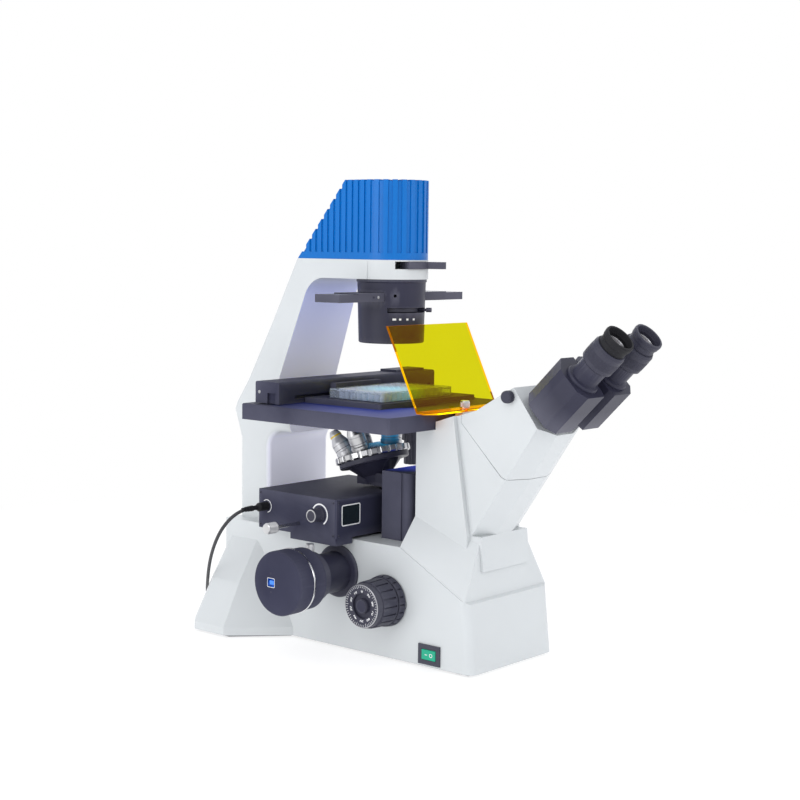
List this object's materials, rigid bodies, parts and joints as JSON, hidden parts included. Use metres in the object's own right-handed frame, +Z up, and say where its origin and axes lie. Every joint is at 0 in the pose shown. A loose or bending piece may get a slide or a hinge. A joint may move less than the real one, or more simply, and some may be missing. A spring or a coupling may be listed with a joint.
{
  "type": "inverted microscope",
  "caption": "Inverted laboratory microscope with inclined binocular head, tilted objective turret, mechanical stage, overhead lamp and side camera.",
  "frame": {"origin": "foot of the optical axis on the bench plane", "axes": "+Z up, -Y towards the user, +X to the user's right"},
  "size_m": [0.336, 0.6801, 0.533],
  "materials": {
    "base_casting": "satin paint on cast aluminium",
    "base_plate": "sheet",
    "rubber_feet": "moulded",
    "head_cover": "satin paint on cast aluminium",
    "rear_column": "satin paint on cast aluminium",
    "pillar_arm": "satin paint on cast aluminium",
    "lamp_cover": "gloss moulded",
    "led_module": "extruded",
    "collector_lens": "clear",
    "condenser_housing": "satin black paint on aluminium",
    "condenser_lens": "clear",
    "phase_slider": "satin black paint on aluminium",
    "aperture_lever": "satin black paint on aluminium",
    "field_lever": "satin black paint on aluminium",
    "stage_plate": "satin black paint on aluminium",
    "stage_insert": "satin black paint on aluminium",
    "stage_beam": "satin black paint on aluminium",
    "stage_y_knob": "matte moulded",
    "stage_x_knob": "matte moulded",
    "plate_holder": "satin black paint on aluminium",
    "microplate": "clear moulded",
    "shield": "tinted clear sheet",
    "shield_screw": "satin metal",
    "nosepiece_base": "satin black paint on aluminium",
    "turret_ring": "satin metal",
    "focus_carrier": "satin black paint on aluminium",
    "coarse_shaft": "satin metal",
    "coarse_knobs": "matte moulded",
    "fine_shaft": "satin metal",
    "fine_knobs": "matte moulded",
    "tension_ring": "matte moulded",
    "fluorescence_box": "satin black paint on aluminium",
    "display_window": "gloss",
    "pull_rod": "satin metal",
    "intensity_knob": "matte moulded",
    "camera_adapter": "satin black paint on aluminium",
    "camera_screw": "satin metal",
    "camera_body": "satin black paint on aluminium",
    "bino_base": "satin black paint on aluminium",
    "left_housing": "satin black paint on aluminium",
    "right_housing": "satin black paint on aluminium",
    "left_eyepiece": "matte moulded",
    "right_eyepiece": "matte moulded",
    "dioptre_cup": "moulded",
    "head_screw": "satin metal",
    "fold_mirror": "front surface",
    "tube_lens": "clear",
    "switch_bezel": "matte moulded",
    "power_rocker": "lit",
    "mains_inlet": "matte moulded",
    "brightness_knob": "matte moulded",
    "dc_plug": "matte moulded",
    "dc_adapter": "matte moulded",
    "objective_1": "satin black paint on aluminium",
    "objective_2": "satin metal",
    "objective_3": "satin metal",
    "objective_4": "satin metal",
    "objective_5": "satin metal",
    "dc_cord": "flexible sheath",
    "dc_coil": "flexible sheath"
  },
  "bodies": {
    "stand": {"base_casting": "base_casting", "base_plate": "base_plate", "rubber_feet": "rubber_feet", "head_cover": "head_cover", "rear_column": "rear_column", "pillar_arm": "pillar_arm", "lamp_cover": "lamp_cover", "led_module": "led_module", "collector_lens": "collector_lens", "condenser_housing": "condenser_housing", "condenser_lens": "condenser_lens", "stage_plate": "stage_plate", "stage_insert": "stage_insert", "shield": "shield", "fluorescence_box": "fluorescence_box", "display_window": "display_window", "camera_adapter": "camera_adapter", "bino_base": "bino_base", "fold_mirror": "fold_mirror", "tube_lens": "tube_lens", "switch_bezel": "switch_bezel", "mains_inlet": "mains_inlet", "dc_plug": "dc_plug", "dc_cord": "dc_cord", "dc_coil": "dc_coil", "dc_adapter": "dc_adapter"},
    "carrier": {"focus_carrier": "focus_carrier", "nosepiece_base": "nosepiece_base"},
    "turret": {"turret_ring": "turret_ring", "objective_1": "objective_1", "objective_2": "objective_2", "objective_3": "objective_3", "objective_4": "objective_4", "objective_5": "objective_5"},
    "coarse": {"coarse_shaft": "coarse_shaft", "coarse_knobs": "coarse_knobs"},
    "fine": {"fine_shaft": "fine_shaft", "fine_knobs": "fine_knobs"},
    "tension": {"tension_ring": "tension_ring"},
    "y_carriage": {"stage_beam": "stage_beam"},
    "x_carriage": {"plate_holder": "plate_holder"},
    "plate": {"microplate": "microplate"},
    "y_knob": {"stage_y_knob": "stage_y_knob"},
    "x_knob": {"stage_x_knob": "stage_x_knob"},
    "slider": {"phase_slider": "phase_slider"},
    "aperture": {"aperture_lever": "aperture_lever"},
    "field": {"field_lever": "field_lever"},
    "clamp_screw": {"shield_screw": "shield_screw"},
    "left_wing": {"left_housing": "left_housing"},
    "right_wing": {"right_housing": "right_housing"},
    "left_ocular": {"left_eyepiece": "left_eyepiece"},
    "right_ocular": {"right_eyepiece": "right_eyepiece"},
    "dioptre": {"dioptre_cup": "dioptre_cup"},
    "lock_screw": {"head_screw": "head_screw"},
    "filter_rod": {"pull_rod": "pull_rod"},
    "intensity": {"intensity_knob": "intensity_knob"},
    "rocker": {"power_rocker": "power_rocker"},
    "brightness": {"brightness_knob": "brightness_knob"},
    "camera": {"camera_body": "camera_body"},
    "camera_clamp": {"camera_screw": "camera_screw"}
  },
  "joints": [
    {"name": "focus_travel", "type": "slide", "parent": "stand", "child": "carrier", "axis": [0, 0, 1], "range_m": [-0.004, 0.005]},
    {"name": "coarse_turn", "type": "hinge", "parent": "stand", "child": "coarse", "pos_m": [0, -0.063, 0.067], "axis": [1, 0, 0], "range_deg": [-40, 50]},
    {"name": "fine_turn", "type": "hinge", "parent": "coarse", "child": "fine", "pos_m": [0, -0.063, 0.067], "axis": [1, 0, 0], "continuous": true},
    {"name": "tension_turn", "type": "hinge", "parent": "stand", "child": "tension", "pos_m": [0, -0.063, 0.067], "axis": [1, 0, 0], "range_deg": [-60, 60]},
    {"name": "turret_turn", "type": "hinge", "parent": "carrier", "child": "turret", "pos_m": [0, 0, 0.134], "axis": [0, 0.309, 0.9511], "continuous": true},
    {"name": "stage_y", "type": "slide", "parent": "stand", "child": "y_carriage", "axis": [0, 1, 0], "range_m": [-0.035, 0.022]},
    {"name": "stage_x", "type": "slide", "parent": "y_carriage", "child": "x_carriage", "axis": [1, 0, 0], "range_m": [-0.05, 0.05]},
    {"name": "plate_lift", "type": "slide", "parent": "x_carriage", "child": "plate", "axis": [0, 0, 1], "range_m": [0, 0.04]},
    {"name": "y_knob_turn", "type": "hinge", "parent": "y_carriage", "child": "y_knob", "pos_m": [0.145, 0.086, 0.225], "axis": [0, 0, 1], "range_deg": [-335, 212]},
    {"name": "x_knob_turn", "type": "hinge", "parent": "y_carriage", "child": "x_knob", "pos_m": [0.145, 0.086, 0.2], "axis": [0, 0, 1], "range_deg": [-480, 480]},
    {"name": "phase_slide", "type": "slide", "parent": "stand", "child": "slider", "axis": [1, 0, 0], "range_m": [-0.04, 0.04]},
    {"name": "aperture_swing", "type": "hinge", "parent": "stand", "child": "aperture", "pos_m": [0, 0, 0.386], "axis": [0, 0, 1], "range_deg": [-80, 5]},
    {"name": "field_swing", "type": "hinge", "parent": "stand", "child": "field", "pos_m": [0, 0, 0.437], "axis": [0, 0, 1], "range_deg": [-18, 20]},
    {"name": "shield_screw_turn", "type": "hinge", "parent": "stand", "child": "clamp_screw", "pos_m": [0, -0.11, 0.28], "axis": [0, 0, 1], "range_deg": [-180, 180]},
    {"name": "left_wing_swing", "type": "hinge", "parent": "stand", "child": "left_wing", "pos_m": [0, -0.22417, 0.29548], "axis": [0, -0.7071, 0.7071], "range_deg": [-24, 5]},
    {"name": "right_wing_swing", "type": "hinge", "parent": "stand", "child": "right_wing", "pos_m": [0, -0.22417, 0.29548], "axis": [0, -0.7071, 0.7071], "range_deg": [-5, 24]},
    {"name": "left_eyepiece_lift", "type": "slide", "parent": "left_wing", "child": "left_ocular", "axis": [0, -0.7071, 0.7071], "range_m": [0, 0.03]},
    {"name": "right_eyepiece_lift", "type": "slide", "parent": "right_wing", "child": "right_ocular", "axis": [0, -0.7071, 0.7071], "range_m": [0, 0.03]},
    {"name": "dioptre_turn", "type": "hinge", "parent": "left_ocular", "child": "dioptre", "pos_m": [-0.027, -0.32458, 0.36478], "axis": [0, -0.7071, 0.7071], "range_deg": [-150, 150]},
    {"name": "head_screw_turn", "type": "hinge", "parent": "stand", "child": "lock_screw", "pos_m": [-0.045, -0.203, 0.302], "axis": [1, 0, 0], "range_deg": [-180, 180]},
    {"name": "filter_pull", "type": "slide", "parent": "stand", "child": "filter_rod", "axis": [1, 0, 0], "range_m": [-0.01, 0.025]},
    {"name": "intensity_turn", "type": "hinge", "parent": "stand", "child": "intensity", "pos_m": [-0.105, 0.012, 0.158], "axis": [1, 0, 0], "range_deg": [-140, 140]},
    {"name": "rocker_tip", "type": "hinge", "parent": "stand", "child": "rocker", "pos_m": [-0.072, -0.1255, 0.016], "axis": [0, 0, 1], "range_deg": [-5, 5]},
    {"name": "brightness_turn", "type": "hinge", "parent": "stand", "child": "brightness", "pos_m": [0.075, -0.118, 0.058], "axis": [1, 0, 0], "range_deg": [-135, 135]},
    {"name": "camera_turn", "type": "hinge", "parent": "stand", "child": "camera", "pos_m": [-0.13, 0.01, 0.09], "axis": [1, 0, 0], "range_deg": [-90, 90]},
    {"name": "camera_screw_turn", "type": "hinge", "parent": "stand", "child": "camera_clamp", "pos_m": [-0.1227, 0.01, 0.118], "axis": [0, 0, 1], "range_deg": [-180, 180]}
  ],
  "couplings": [
    {"joint": "coarse_turn", "follows": "focus_travel", "rad_per_m": 166.67},
    {"joint": "y_knob_turn", "follows": "stage_y", "rad_per_m": 166.67},
    {"joint": "x_knob_turn", "follows": "stage_x", "rad_per_m": 166.67},
    {"joint": "right_wing_swing", "follows": "left_wing_swing", "ratio": -1}
  ]
}
